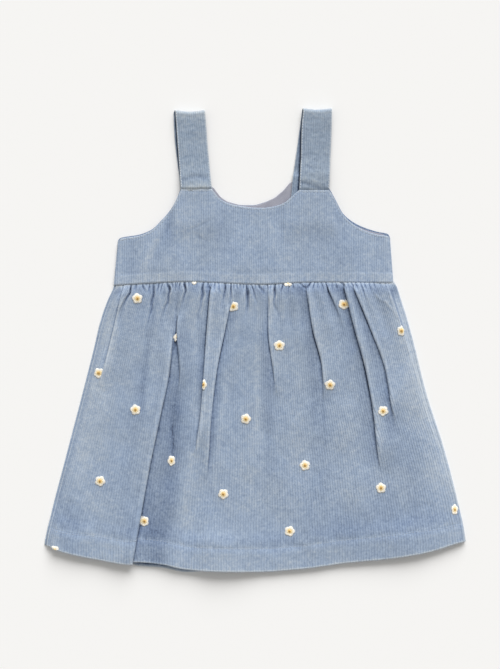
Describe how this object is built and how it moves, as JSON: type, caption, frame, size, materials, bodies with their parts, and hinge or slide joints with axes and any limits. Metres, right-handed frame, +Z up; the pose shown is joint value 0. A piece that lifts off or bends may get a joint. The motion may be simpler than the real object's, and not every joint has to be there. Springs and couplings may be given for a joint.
{
  "type": "pinafore dress",
  "caption": "Toddler's corduroy pinafore dress with wide straps, a plain bodice and a gathered skirt, laid flat, front up.",
  "frame": {"origin": "centre of the bounding box's underside, on the surface that the dress lies on", "axes": "+X towards the right side of the picture, +Y from the hem towards the straps, +Z up from the back to the front of the dress"},
  "size_m": [0.4076, 0.4491, 0.0113],
  "materials": {
    "corduroy": "fine-wale cotton corduroy, matt, dusty blue",
    "lining": "plain woven cotton, matt, lilac grey",
    "embroidery": "satin-stitched cotton thread, cream petals round a golden centre"
  },
  "bodies": {
    "root": {"bodice_front": "corduroy", "bodice_back": "corduroy", "lining_back": "lining", "strap_left": "corduroy", "strap_right": "corduroy", "skirt_front": "corduroy", "skirt_back": "corduroy"}
  },
  "joints": []
}
